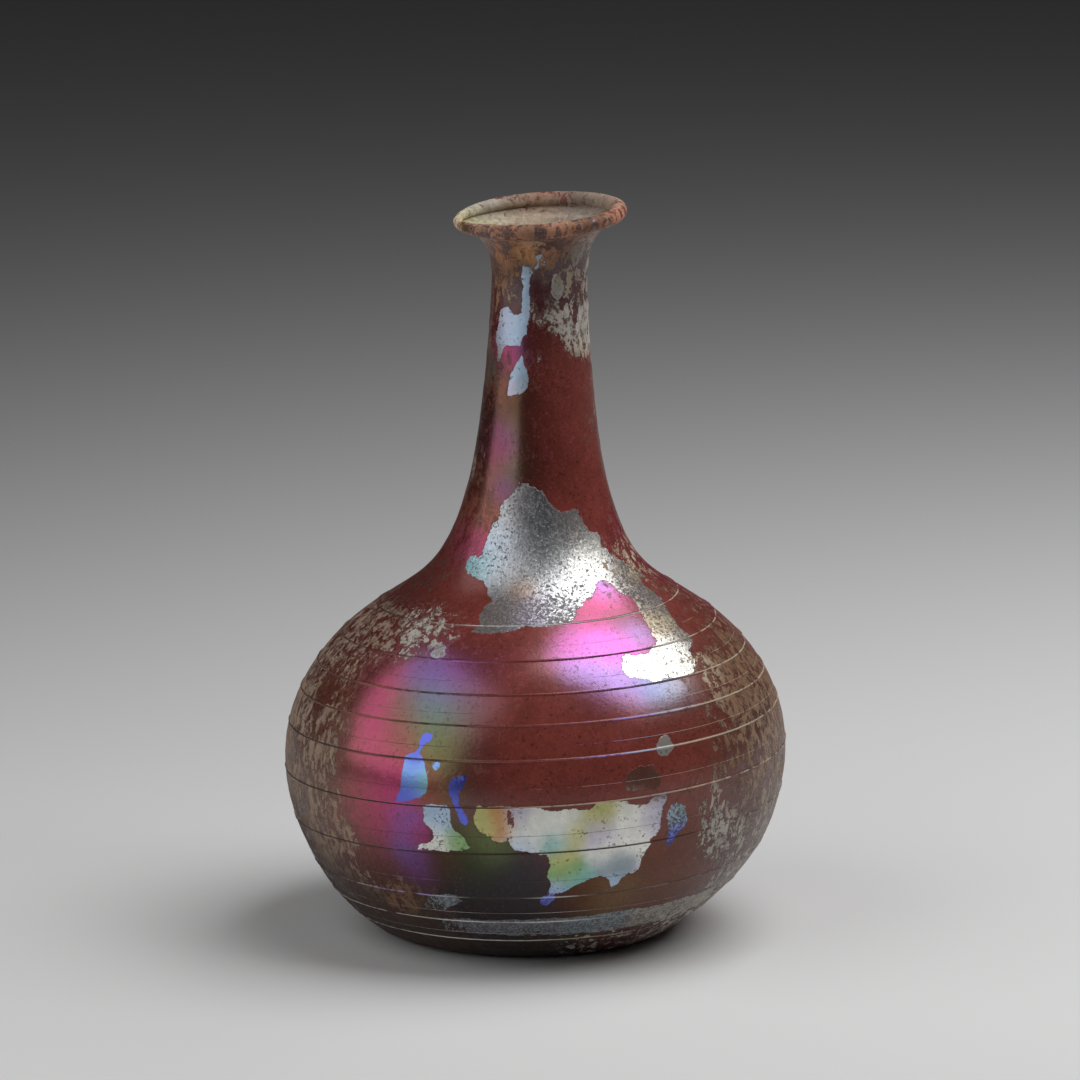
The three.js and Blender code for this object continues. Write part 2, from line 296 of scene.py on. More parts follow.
# The rust, pine and ash films low on the body are partly painted shade, kept dark against the
# floor's reflection
FILM_TONES = {
    "orange": [
        (-55, 38, 7, 0.45), (-53, 30, 7, 0.45), (-34, 36, 4, 0.5), (-24, 30, 3, 0.5),
        (-52, 84, 4, 0.5), (-42, 84, 3, 0.5), (-45, 70, 4, 0.5), (-42, 66, 4, 0.45),
        (-112, 42, 12, 0.45)],
    "rose": [
        (-50, 45, 5, 0.4), (-43, 31, 5, 0.8), (-42, 23, 6, 0.5), (-12, 52, 8, 0.1),
        (-8, 42, 6, 0.12), (22, 39, 3, 0.1), (-44, 75, 3, 0.4), (180, 46, 10, 0.4),
        (150, 85, 6, 0.4)],
    "magenta": [
        (-44, 42, 4.5, 0.9), (-43, 37, 4.5, 0.85), (-36, 30, 5, 0.85), (-36, 24, 4, 0.6),
        (-28, 22, 2, 0.5), (31, 53.5, 3, 0.5), (43, 53.3, 3, 0.3), (22, 51.5, 3, 0.3),
        (-38, 88.5, 2.5, 0.5), (-38, 75, 2.5, 0.35), (-46, 60.5, 3, 0.5), (120, 40, 14, 0.45)],
    "rust": [
        (-41, 16, 6, 0.5), (-23, 18.5, 3.5, 0.6), (12, 12.5, 4, 0.7), (30, 15, 5, 0.5),
        (34, 11, 5, 0.4), (38, 20, 5, 0.3), (140, 14, 9, 0.5)],
    "violet": [
        (-24, 44.5, 4.5, 0.85), (-16, 46, 4, 0.4), (-29, 17, 2.5, 0.6), (15, 41.5, 3, 0.3),
        (-32, 76, 2.5, 0.4), (-31, 69, 2, 0.5), (-16, 90, 2, 0.5), (160, 32, 12, 0.45)],
    "blue": [(-33, 45, 3.5, 0.35), (-31, 24, 2.5, 0.7), (-31.5, 20, 2.5, 0.7)],
    "olive": [(-36, 41, 3.5, 0.5), (-19, 36, 3.5, 0.7), (22, 11.5, 4, 0.35)],
    "teal": [(-30, 41.5, 3.5, 0.8), (-22, 41, 4.5, 0.85), (34, 39, 3, 0.2), (-150, 34, 13, 0.45)],
    "slate": [
        (-14, 41, 4, 0.6), (-13, 36, 4, 0.4), (-12, 31, 4, 0.25), (-70, 30, 10, 0.1),
        (65, 30, 10, 0.08), (-24, 71, 2.5, 0.5), (5, 98.5, 3, 0.35), (25, 97, 3, 0.35)],
    "green": [
        (-25, 37.5, 4, 0.85), (-18, 33, 4, 0.8), (-10, 21.5, 3, 0.6), (-20, 77, 2.8, 0.85),
        (-18, 73, 2.8, 0.6), (-150, 80, 6, 0.4)],
    "pine": [(-16, 18, 4, 0.8), (-18, 83, 3, 0.6), (-160, 14, 9, 0.5)],
    "ash": [(-5, 17.5, 4, 0.8), (-18, 14, 4, 0.7), (0, 13, 4, 0.7), (0, 8, 4, 0.6)],
    "wine": [
        (2, 36, 8, 0.05), (-38, 54, 5, 0.08), (10, 33, 8, 0.03), (30, 33, 8, 0.03),
        (60, 45, 10, 0.08), (-72, 45, 10, 0.05), (5, 78, 4, 0.05), (10, 90, 4, 0.05),
        (40, 78, 6, 0.06)],
    "pink": [(20, 48.7, 3.5, 0.5), (28, 48.5, 3.5, 0.5), (11, 48.5, 3, 0.3)],
    "lavender": [
        (36, 49.4, 2.5, 0.4), (12, 45.5, 3, 0.4), (20, 44.5, 3, 0.45), (24, 42, 3, 0.4),
        (36, 55, 2.5, 0.5)],
    "sky": [(32, 42, 3, 0.4)],
    "ice": [(38, 41.8, 3, 0.4)],
    "claret": [(32, 50.7, 2.5, 0.3)],
    "soot": [(-78, 78, 5, 0.3)],
}

# Silvery skin on the shoulder and below it, with its gaps
SILVER_FLAKES = [
    [(-17, 70), (-9, 69.8), (-3, 69.4), (3, 69.2), (8, 67.7), (14, 66.5), (22, 65.9), (29, 66),
     (34, 65.8), (35, 64.5), (40, 62.7), (46.5, 62.3), (45.5, 60.2), (53, 58.7), (58, 58.4),
     (63, 56.6), (72, 54.8), (64, 55.3), (62, 53.8), (64, 52.5), (58, 50.8), (55, 48.7), (57, 48),
     (54, 46.6), (51, 46.2), (49.5, 44.6), (47, 43.4), (33, 43.4), (26, 44.3), (24, 45.6),
     (27, 46.2), (25, 47), (32, 47), (36, 46.9), (41, 48.2), (42, 50.2), (48, 53.4), (43, 54),
     (41, 55.5), (37, 56), (33, 55.5), (27, 54.1), (22, 53.8), (17, 52.4), (12, 51.5), (2, 51),
     (-5, 50.9), (-11, 50.3), (-17, 50), (-24, 50.1), (-21.5, 51), (-25, 52.9), (-21.5, 53.6),
     (-26, 55.5), (-30, 56.2), (-37, 56.6), (-43, 57.3), (-47, 58.2), (-45, 59), (-37, 59.2),
     (-38.5, 60.4), (-36, 62.6), (-30, 64.8), (-31, 66.6), (-24, 68.2), (-20, 69.4)],
    [(-35, 47.6), (-31, 48.6), (-28.5, 47.6), (-30, 46.8), (-33, 46.9)],
]
SILVER_TONES = {
    "aqua": [(-40, 58, 3, 0.1)],
    "ice": [(-32, 60, 4, 0.05)],
    "silver": [
        (-22, 63, 5, 0.05), (-16, 58, 4, 0.05), (-5, 58, 4, 0.2), (12, 58, 4, 0.1),
        (10, 53, 3, 0.6), (20, 55, 3, 0.3)],
    "dove": [
        (-10, 66, 3, 0.25), (22, 64.5, 2.5, 0.75), (31, 64.3, 2.5, 0.75), (24, 62, 2, 0.5),
        (-14, 53, 3, 0.6), (50, 56.5, 3, 0.35), (58, 55, 3, 0.6), (56, 52.5, 3, 0.5),
        (54, 48, 2, 0.5)],
    "steel": [(0, 66, 3.5, 0.25), (10, 64, 3.5, 0.25), (3, 61.5, 3.5, 0.3)],
    "pearl": [(28, 58.5, 5, 0.0), (40, 60, 4, 0.0), (46, 46, 3, 0.0), (34, 45, 3, 0.0)],
    "amber": [(-8, 55.4, 1.8, 0.1)],
    "lilac": [(-2, 53, 3, 0.5), (-31, 47.7, 2, 0.1)],
    "cream": [(66, 55.5, 3, 0.5), (50, 50, 3, 0.2)],
}

# Opal skin: the torn band below the widest part, the patches on the neck and the foot, and the
# round spot and the dull scab to the right of the front
PEARL_FLAKES = [
    [(-26, 27.2), (-20, 27.2), (-18.7, 26.3), (-19, 24.8), (-18.4, 23.4), (-16, 22.7),
     (-14.8, 20.4), (-20, 20.1), (-28.3, 20), (-27, 20.8), (-24, 21.4), (-22.6, 22.6), (-24, 23.4),
     (-26, 24), (-25.7, 25.5)],
    [(-14, 26), (-13, 27.2), (-6, 27.3), (-6.5, 26), (-6, 24.5), (-5.6, 23), (-7, 22),
     (-8.5, 21.7), (-10, 22), (-9.5, 23), (-12, 23.3), (-13.6, 24)],
    [(-6, 22), (-4.6, 24.5), (-5.5, 27.4), (0, 27.3), (4, 26.6), (8, 27.1), (12, 26.4), (14, 27.6),
     (20, 27.7), (22, 26.8), (26, 26.6), (27, 27.7), (30.4, 28.2), (30.5, 26.4), (29, 25),
     (29.6, 23.2), (29, 21.8), (26.6, 21.4), (27.5, 20.2), (25.4, 18.8), (25.3, 17), (26.6, 16),
     (24.5, 15.7), (23, 16.2), (21.5, 15.4), (20.2, 13.8), (18.6, 13.9), (17.5, 15.7), (15.3, 16),
     (12.5, 15.2), (10, 14.6), (7, 13.5), (3.6, 13.2), (4.2, 14.6), (2.6, 16.6), (3.6, 18.2),
     (3, 19.8), (0, 19.9), (-2, 20.2), (-4.5, 20.6)],
    [(30.4, 25), (33, 26.4), (36, 25.4), (37, 22.4), (34, 21.6), (33.6, 19.4), (31.4, 19.8),
     (31.6, 22)],
    [(-58, 91.6), (-52, 95.6), (-40, 96.2), (-30, 95), (-22, 95.2), (-21, 99), (-23, 101),
     (-20, 103), (-8, 103.6), (-4, 104.6), (4, 104.6), (8, 102.6), (-4, 102), (-11, 100.6),
     (-11.5, 96), (-14, 94), (-15, 92), (-19, 91.4), (-20.5, 90), (-26, 90.2), (-38, 90.4),
     (-44, 89.6), (-46, 88), (-55, 87.2), (-53, 89.6), (-58, 90)],
    [(-29, 86.6), (-26, 87.6), (-20, 88.8), (-16, 87.6), (-12, 86.4), (-12.6, 84), (-18, 83),
     (-26, 83), (-34, 82.6), (-35, 83.6), (-30, 85.4)],
    [(14, 98.2), (16, 101.4), (26, 101), (31, 99.6), (30, 97.8), (22, 97.2)],
    [(31.2 + 2.4 * math.cos(turn), 34.7 + 1.5 * math.sin(turn)) for turn in range(7)],
    [(20.5, 29), (20, 31), (24, 32.4), (27.5, 32.2), (29, 30.4), (29.5, 29), (25, 28.8)],
    [(-30, 9.6), (-27, 12.2), (-20, 12.6), (-18, 11.4), (-22, 10.4), (-25, 9.2)],
    [(1.6, 11.6), (2.4, 12.9), (6, 12.9), (5, 11.8), (3, 11.2)],
    [(-25, 5.6), (-25, 8.1), (-8, 8.4), (8, 8.8), (24, 9.2), (42, 9.4), (60, 9.8), (62, 6.8),
     (44, 5.8), (20, 5.4), (0, 5.3)],
]
PEARL_TONES = {
    "ice": [
        (-22, 25.5, 2, 0.15), (-3, 21.4, 1.5, 0.1), (5, 14, 1.2, 0.1), (19.4, 14.6, 1, 0.1),
        (-40, 92, 2.5, 0.05), (-28, 93, 2.5, 0.0), (-18, 98, 2.5, 0.1), (-20, 86, 2, 0.05)],
    "mint": [(-18, 21.4, 1.8, 0.15), (5, 16.8, 1.5, 0.05), (9, 16.8, 1.6, 0.05)],
    "pearl": [
        (-23, 21, 2, 0.2), (-2, 23, 2.5, 0.05), (5, 24.5, 2.5, 0), (22, 25.6, 2, 0.15),
        (22, 22.6, 2.5, 0.05), (16, 20, 1.8, 0.1), (25, 20, 1.8, 0.1)],
    "lemon": [
        (-12.5, 26, 1.3, 0.05), (-11, 24.4, 1.4, 0.05), (9, 23, 1.5, 0.1), (15, 26, 2, 0.15),
        (6, 19, 1.5, 0.1)],
    "amber": [(-8, 26, 1.4, 0), (-7, 23.4, 1.3, 0.1)],
    "lilac": [
        (-4, 26.3, 1.5, 0.3), (15, 22.6, 2, 0.05), (27, 24, 2, 0.15), (25, 16, 1, 0.2),
        (-50, 93, 2.5, 0.2), (-30, 83.6, 1.5, 0.1)],
    "aqua": [(4, 21.6, 1.6, 0.1), (9.5, 15.4, 1.2, 0.05), (12.5, 16.2, 1.2, 0.05)],
    "mist": [
        (18, 17.4, 2, 0), (22, 17.5, 1.6, 0.05), (33, 24, 2, 0.5), (0, 103.6, 2, 0.3),
        (-15, 85, 1.5, 0.1), (-24, 11, 2, 0.75), (20, 7.5, 3, 0.6)],
    "cobalt": [(34, 21, 1.6, 0.75), (4, 12, 1.5, 0.5)],
    "dove": [(-52, 89, 1.8, 0.4)],
    "chalk": [(22, 99.6, 2, 0.3), (31.2, 34.7, 2, 0.1), (40, 8, 4, 0.5), (56, 8.5, 4, 0.4)],
    "russet": [(25, 30.6, 2.5, 0.45)],
    "steel": [(-18, 7, 3, 0.7), (0, 7, 3, 0.6)],
}

# Blue flakes by the side lamp's reflection
BLUE_FLAKES = [
    [(-31.5, 34), (-28, 34.6), (-26.3, 34), (-25.4, 32), (-24.6, 30), (-25.2, 28.4), (-27.5, 28),
     (-29, 27.2), (-33, 26.8), (-31.5, 29)],
    [(-28.2, 36.4), (-27, 37.4), (-24.4, 37), (-24.4, 36.2), (-26.4, 35.8), (-27.2, 34.6),
     (-28, 35)],
    [(-24.4, 33.2), (-22, 33.4), (-22.4, 32), (-23.4, 32)],
    [(-19, 31.5), (-15.4, 31.7), (-16, 30), (-17.4, 29.5), (-17, 27.5), (-15.4, 25.6), (-15, 24.2),
     (-16.4, 24), (-18, 27), (-20, 29.4)],
]
BLUE_TONES = {
    "cobalt": [
        (-31, 28, 2, 0), (-29, 34, 1.2, 0), (-26, 36.6, 1.5, 0), (-17, 31, 1.5, 0),
        (-17, 27, 1.5, 0)],
    "sky": [(-29, 31, 2, 0), (-23.4, 33, 1, 0)],
    "aqua": [(-25.5, 30.5, 1.2, 0)],
}

# Earthy crusts
CRUST_TONES = {
    "buff": [
        (-80, 30, 8, 0.62), (-66, 31, 5, 0.4), (-58, 30, 4.5, 0.62), (-54, 35.5, 3, 0.5),
        (-51.5, 25, 2.6, 0.6), (-56, 18, 6, 0.58), (-49, 18, 2.5, 0.6), (-60, 44, 4, 0.42),
        (-74, 44, 6, 0.5), (-47, 13.5, 2, 0.5), (-54, 48.5, 2, 0.5), (-60, 66, 3, 0.3),
        (-45, 16, 3, 0.0), (-42, 28, 5, 0.0), (-44, 40, 4, 0.0), (-20, 40, 8, 0.0),
        (-24, 24, 4, 0.05), (-30, 55, 5, 0.0), (25, 46, 6, 0.0), (46, 38, 3.5, 0.35),
        (66, 30, 6, 0.5), (80, 28, 8, 0.55), (60, 24, 4, 0.4), (85, 18, 8, 0.5), (30, 70, 6, 0.0),
        (60, 80, 5, 0.2), (35, 84, 5, 0.1), (80, 80, 5, 0.4), (-72, 73, 2, 0.5),
        (-48, 78, 5, 0.05), (-25, 78, 5, 0.0), (-32, 92, 3, 0.0), (-15, 99, 2.5, 0.0),
        (45, 98.6, 3, 0.4), (10, 90.5, 3, 0.0), (0, 106.6, 2, 0.55), (-50, 112, 3, 0.6),
        (120, 110.5, 6, 0.75), (0, 117, 6, 0.8), (0, 130, 10, 0.8), (120, 30, 12, 0.4),
        (180, 24, 10, 0.35), (-120, 30, 12, 0.45), (180, 78, 8, 0.2), (-130, 95, 6, 0.4)],
    "tan": [
        (-66, 40, 2.5, 0.1), (-38, 10.4, 2, 0.6), (-10, 46, 6, 0.08), (38, 36, 5, 0.08),
        (50, 31, 5, 0.4), (62, 38, 7, 0.62), (80, 40, 8, 0.6), (37, 27, 2.5, 0.3),
        (47, 12.5, 3, 0.15), (34, 19, 3, 0.02), (22, 13, 4, 0.02), (0, 16, 5, 0.0),
        (60, 50, 5, 0.15), (75, 50, 6, 0.4), (82, 62, 5, 0.5), (60, 64, 4, 0.12),
        (-60, 97, 3, 0.4), (-40, 101.5, 3, 0.7), (-25, 105.6, 2.5, 0.6), (26, 104, 3, 0.6),
        (60, 99, 3, 0.35), (-90, 100, 6, 0.5), (40, 112, 3, 0.6), (170, 121, 3, 0.8),
        (150, 50, 10, 0.25), (-170, 34, 8, 0.15), (160, 66, 8, 0.15)],
    "umber": [
        (-80, 15, 8, 0.6), (-55, 12, 5, 0.5), (-50, 6, 6, 0.6), (-80, 58, 6, 0.35),
        (-65, 62, 4, 0.3), (0, 35, 10, 0.12), (20, 35, 8, 0.08), (0, 78, 5, 0.1),
        (-78, 84, 6, 0.6), (-55, 101, 2, 0.6), (4, 98.5, 3, 0.35), (38, 103.4, 3, 0.6),
        (14, 107, 2, 0.5), (-5, 110, 2, 0.5), (38, 110, 2, 0.5), (155, 110.5, 4, 0.5),
        (-160, 110.5, 4, 0.5), (150, 12, 8, 0.5), (-140, 10, 8, 0.5), (0, 2.5, 3, 0.5)],
    "chalk": [
        (-44, 49.5, 3, 0.55), (-36, 49.4, 3, 0.6), (-46, 51.5, 2, 0.4), (-45, 46.6, 1.4, 0.45),
        (-36, 51.6, 2, 0.35), (44, 25, 3, 0.42), (46, 20, 3, 0.55), (54, 17.5, 4, 0.55),
        (70, 18, 6, 0.5), (60, 12, 4, 0.45), (55, 104, 3, 0.6), (0, 94.4, 1.5, 0.45),
        (20, 93.6, 1.6, 0.55), (30, 92.6, 2, 0.6), (38, 95, 2.5, 0.45), (48, 93, 3, 0.62),
        (65, 93, 4, 0.75), (-6, 88, 2, 0.3), (80, 100, 5, 0.6), (-130, 110.5, 6, 0.75),
        (150, 117, 5, 0.95), (100, 117, 5, 0.95), (-150, 52, 10, 0.3), (120, 95, 6, 0.5),
        (30, 3.5, 4, 0.4), (60, 5, 5, 0.5)],
    "cream": [
        (50, 43, 3, 0.35), (72, 58, 4, 0.45), (-30, 97.6, 2, 0.5), (32, 100, 2, 0.45),
        (58, 90, 1.6, 0.6), (-90, 110.5, 4, 0.7), (-150, 117, 5, 0.95), (180, 117, 3, 0.9)],
    "lemon": [(-28, 95.6, 1.6, 0.4), (-100, 117, 5, 0.85)],
    "peach": [
        (-50, 98.5, 2, 0.5), (-45, 104.2, 2, 0.6), (12, 104.6, 2, 0.55), (-60, 108.5, 4, 0.55),
        (-20, 109.5, 3, 0.5), (20, 109.5, 3, 0.6), (55, 109.5, 4, 0.55), (90, 109.5, 5, 0.5),
        (0, 112, 3, 0.6), (180, 110.5, 5, 0.5)],
    "amber": [(-13, 105.4, 1.8, 0.9)],
    "steel": [(8, 88, 2, 0.5)],
}


# The line along the thread: dark where dirt sits in the furrow and a painted shadow lies under the
# thread, mostly on the left, away from the key lamp; light where the crest is worn and a painted
# highlight lies on it, mostly on the right, toward the key lamp
THREAD_TONES = {
    "umber": [
        (-70, 26.2, 6, 0.9), (-50, 26.5, 5, 0.9), (-34, 26.8, 4, 0.7), (-70, 33, 4, 0.8),
        (-50, 33.3, 4, 0.8), (-30, 33.6, 4, 0.7), (-12, 33.9, 4, 0.25), (0, 34, 4, 0.15),
        (-25, 38.3, 4, 0.6), (-5, 38.7, 4, 0.3), (-30, 42.3, 4, 0.45), (-5, 42.7, 4, 0.35),
        (18, 43.1, 3, 0.5), (36, 43.4, 3, 0.7), (-20, 46.7, 4, 0.4), (5, 47, 4, 0.5),
        (28, 47.4, 4, 0.6), (-60, 50, 6, 0.5), (-25, 27, 3, 0.9), (-14, 27.2, 3, 0.9),
        (-65, 19.3, 5, 0.8), (-40, 19.5, 4, 0.7), (-20, 19.8, 3, 0.9), (0, 20.1, 4, 0.9),
        (14, 20.4, 3, 0.85), (30, 20.7, 4, 0.7), (-10, 12.5, 4, 0.6), (20, 12.8, 4, 0.7),
        (180, 24, 14, 0.6), (-130, 33, 10, 0.6), (-150, 14, 10, 0.7)],
    "lavender": [(16, 34.4, 3, 0.6), (25, 39.3, 3, 0.8), (-35, 12.2, 3, 0.5)],
    "ice": [(26, 34.6, 3, 0.85), (36, 39.5, 3, 0.5)],
    "cream": [
        (38, 34.9, 4, 0.95), (50, 35.2, 4, 0.7), (48, 39.8, 4, 0.85), (62, 40, 4, 0.6),
        (55, 43.8, 4, 0.6), (75, 44, 5, 0.55), (50, 47.8, 4, 0.5), (25, 51.5, 3, 0.8),
        (60, 52, 5, 0.5), (2, 27.4, 3, 0.8), (14, 27.6, 3, 0.7), (45, 28.2, 4, 0.5),
        (65, 28.5, 5, 0.5), (180, 40, 12, 0.4), (130, 33, 10, 0.5)],
    "rust": [(-65, 37.8, 4, 0.6)],
    "orange": [(-45, 38, 4, 0.7)],
    "violet": [(12, 39, 3, 0.4)],
    "chalk": [
        (-40, 50.6, 3, 0.6), (27, 27.9, 3, 0.7), (60, 21, 6, 0.5), (-45, 7.6, 4, 0.5),
        (-30, 7.8, 3, 0.8), (-6, 8.1, 2, 0.6), (24, 8.5, 4, 0.8), (50, 9, 6, 0.5),
        (-50, 3.9, 5, 0.6), (30, 5, 5, 0.6), (55, 5.4, 6, 0.5), (150, 48, 8, 0.4),
        (150, 12, 10, 0.4), (180, 6, 6, 0.6)],
    "silver": [(-15, 50.9, 3, 0.6), (10, 51.2, 3, 0.9), (42, 51.8, 3, 0.6)],
    "slate": [(45, 13.2, 4, 0.5)],
    "pearl": [(-18, 8, 3, 1), (8, 8.2, 4, 1), (-25, 4.2, 5, 1), (-5, 4.4, 5, 1)],
    "lemon": [(12, 4.8, 4, 0.9)],
}


def surface_offsets(places, angle, distance, radius):
    """Steps from each point of the surface to some places, in mm across and along the surface"""
    places = np.array(places, float)
    turn = np.radians((places[:, 0] - angle[:, None] + 180) % 360 - 180)
    return turn * radius[:, None], OUTLINE.at_height(places[:, 1]) - distance[:, None]


def flake_depth(outline, angle, distance, radius):
    """How far inside a flake each point lies, in mm, and below nothing outside it"""
    middle = np.mean([place[0] for place in outline])
    depth = np.full(len(angle), -FAR)
    apart = (angle - middle + 180) % 360 - 180
    heights = OUTLINE.at_height([place[1] for place in outline])
    near = np.flatnonzero((np.abs(apart) < WIDEST_REACH) & (distance > heights.min() - FAR)
                          & (distance < heights.max() + FAR))
    x, y = surface_offsets(outline, angle[near], distance[near], radius[near])
    inside = np.zeros(len(near), bool)
    nearest = np.full(len(near), FAR)
    for i in range(len(outline)):
        x0, y0, x1, y1 = x[:, i - 1], y[:, i - 1], x[:, i], y[:, i]
        crosses = (y0 > 0) != (y1 > 0)
        rise = np.where(crosses, y1 - y0, 1)
        inside ^= crosses & (x0 - y0 * (x1 - x0) / rise > 0)
        length = np.maximum((x1 - x0) ** 2 + (y1 - y0) ** 2, 1e-9)
        part = np.clip(-(x0 * (x1 - x0) + y0 * (y1 - y0)) / length, 0, 1)
        nearest = np.minimum(nearest, np.hypot(lerp(x0, x1, part), lerp(y0, y1, part)))
    depth[near] = np.where(inside, nearest, -nearest)
    return depth


def deepest(flakes, surface):
    return np.max([flake_depth(outline, *surface) for outline in flakes], axis=0)


def blend_tones(tones, colours, surface):
    """Colour and amount at each point, blended from the tones around it"""
    listed = [(*tone, colours[key]) for key, places in tones.items() for tone in places]
    x, y = surface_offsets([tone[:2] for tone in listed], *surface)
    width = np.array([tone[2] for tone in listed], float)
    nearness = -(x ** 2 + y ** 2) / width ** 2
    weights = np.exp(nearness - nearness.max(1, keepdims=True))
    weights /= weights.sum(1, keepdims=True)
    return (weights @ np.array([tone[4] for tone in listed]),
            weights @ np.array([tone[3] for tone in listed]))


FLAKES = {"silver": SILVER_FLAKES, "pearl": PEARL_FLAKES, "blue": BLUE_FLAKES}
TONES = {"glass": GLASS_TONES, "film": FILM_TONES, "silver": SILVER_TONES, "pearl": PEARL_TONES,
         "blue": BLUE_TONES, "crust": CRUST_TONES, "thread": THREAD_TONES}


# ---------------------------------------------------------------------------------------------
# Building the mesh
# ---------------------------------------------------------------------------------------------

class Surface:
    """Rings of points that are joined into one closed skin"""

    def __init__(self):
        self.rows = []
        self.faces = []
        self.count = 0

    def add(self, radius, height, column, travel, off_thread=FAR):
        """Adds points and returns their numbers. Travel is the distance along the surface, and
        off-thread the distance from the thread's crest"""
        parts = np.broadcast_arrays(radius, height, np.asarray(column) % COLUMNS, travel,
                                    off_thread)
        block = np.stack([part.ravel() for part in parts], -1).astype(float)
        self.rows.append(block)
        numbers = self.count + np.arange(len(block))
        self.count += len(block)
        return numbers.reshape(parts[0].shape)

    def ring(self, radius, height, travel):
        return self.add(radius, height, np.arange(COLUMNS), travel)

    def quads(self, a, b, c, d):
        self.faces.append(np.stack([np.ravel(part) for part in (a, b, c, d)], -1))

    def join(self, lower, upper):
        self.quads(lower, np.roll(lower, -1), np.roll(upper, -1), upper)

    def fill(self, centre, ring):
        self.faces.append(np.stack([np.full(COLUMNS, centre), ring, np.roll(ring, -1)], -1))


def column_angle(column):
    return math.pi / 2 + 2 * math.pi * column / COLUMNS


def band_edge(turn):
    """The line midway between two turns of the thread, run out level at both of its ends"""
    below = crest_distance(np.maximum(turn - 1, THREAD_START))
    above = crest_distance(np.minimum(turn, THREAD_END))
    middle = (below + above) / 2
    rising = smoothstep(turn, THREAD_START, THREAD_START + 1)
    falling = smoothstep(turn, THREAD_END, THREAD_END + 1)
    return lerp(lerp(BASE_CORNER, middle, rising), THREAD_TOP, falling)


def add_thread_band(surface, settings):
    """One band that climbs round the body and carries the thread along its middle"""
    first, last = THREAD_START - 1, THREAD_END + 1
    turns = np.arange(round((last - first) * COLUMNS)) / COLUMNS + first
    low, high = band_edge(turns), band_edge(turns + 1)
    bare = (turns < THREAD_START) | (turns > THREAD_END)
    crest = np.where(bare, (low + high) / 2, crest_distance(turns))
    half = np.where(bare, (high - low) / 6, settings.thread_width / MM / 2)
    from_end = np.minimum(turns - THREAD_START, THREAD_END - turns)
    height = settings.thread_height / MM * smoothstep(from_end, 0, THREAD_TAPER_TURNS)
    below = [lerp(low, crest - half, step) for step in PLAIN_STEPS]
    across = np.linspace(-1, 1, THREAD_ROWS + 1)
    above = [lerp(high, crest + half, step) for step in PLAIN_STEPS[:0:-1]]
    distance = np.stack(below + [crest + half * part for part in across] + above, -1)
    bump = np.zeros_like(distance)
    bump[:, len(PLAIN_STEPS):len(PLAIN_STEPS) + THREAD_ROWS + 1] = (
        height[:, None] * (0.5 + 0.5 * np.cos(math.pi * across)))
    radius, level = OUTLINE.point(distance, bump)
    columns = np.arange(len(turns))[:, None]
    off_thread = np.where(bare[:, None], FAR, distance - crest[:, None])
    points = surface.add(radius, level, columns, distance, off_thread)
    bottom = surface.ring(*OUTLINE.point(BASE_CORNER), BASE_CORNER)
    top = surface.ring(*OUTLINE.point(THREAD_TOP), THREAD_TOP)
    ends = np.concatenate([points[COLUMNS:, 0], top])
    grid = np.concatenate([points, ends[:, None]], 1)
    following = np.concatenate([grid[1:], np.full((1, grid.shape[1]), top[0])])
    surface.quads(grid[:, :-1], following[:, :-1], following[:, 1:], grid[:, 1:])
    return bottom, top


def add_underside(surface):
    """The shallow hollow and the ring it stands on, from the middle out"""
    centre = surface.add(0.0, KICK_RISE, 0, -BASE_RADIUS)
    ring = None
    for row in range(1, BASE_ROWS + 1):
        radius = KICK_RADIUS * row / BASE_ROWS
        height = KICK_RISE * (1 - row / BASE_ROWS)
        lower = surface.ring(radius, height, radius - BASE_RADIUS)
        if ring is None:
            surface.fill(centre, lower[::-1])
        else:
            surface.join(lower[::-1], ring[::-1])
        ring = lower
    for radius in np.linspace(KICK_RADIUS, BASE_RADIUS, 6)[1:]:
        lower = surface.ring(radius, 0.0, radius - BASE_RADIUS)
        surface.join(ring, lower)
        ring = lower
    return ring


def climb(surface, ring, distances):
    for distance in distances:
        radius, height = OUTLINE.point(distance)
        upper = surface.ring(radius, height, distance)
        surface.join(ring, upper)
        ring = upper
    return ring


def build_skin(settings):
    """All points and faces of the flask, before its relief"""
    surface = Surface()
    base = add_underside(surface)
    bottom, top = add_thread_band(surface, settings)
    corner = climb(surface, base, np.linspace(0, BASE_CORNER, 4)[1:-1])
    surface.join(corner, bottom)
    neck = climb(surface, top, np.linspace(THREAD_TOP, OUTLINE.length, NECK_ROWS + 1)[1:-1])

    turn = column_angle(np.arange(COLUMNS))
    thickness = LIP_RADIUS * (1 - LIP_PINCH * np.maximum(0, -np.cos(turn)) ** LIP_PINCH_SHARPNESS)
    ring, travel = neck, OUTLINE.length
    for angle in np.linspace(LIP_FOOT_ANGLE, LIP_FOLD_ANGLE, LIP_ROWS + 1):
        radius, height = lip_point(angle, thickness).T
        travel = OUTLINE.length + LIP_RADIUS * (angle - LIP_FOOT_ANGLE)
        upper = surface.ring(radius, height, travel)
        surface.join(ring, upper)
        ring = upper
    slit = surface.ring(radius + SLIT_DEPTH, height - SLIT_GAP, travel + 0.4)
    surface.join(ring, slit)
    ring = slit
    start = OUTLINE.length - FUNNEL_TOP
    for row in range(INNER_ROWS + 1):
        distance = start * (1 - (row / INNER_ROWS) ** INNER_CROWDING)
        wall = wall_thickness(OUTLINE.point(distance)[1])
        radius, height = OUTLINE.point(distance, -wall)
        inner = surface.ring(radius, height, travel + 0.8 + start - distance)
        surface.join(ring, inner)
        ring = inner
    floor = surface.ring(KICK_RADIUS, BASE_WALL, travel + start + KICK_RADIUS)
    surface.join(ring, floor)
    surface.fill(surface.add(0.0, BASE_WALL + KICK_RISE / 2, 0, 0.0), floor)
    return surface


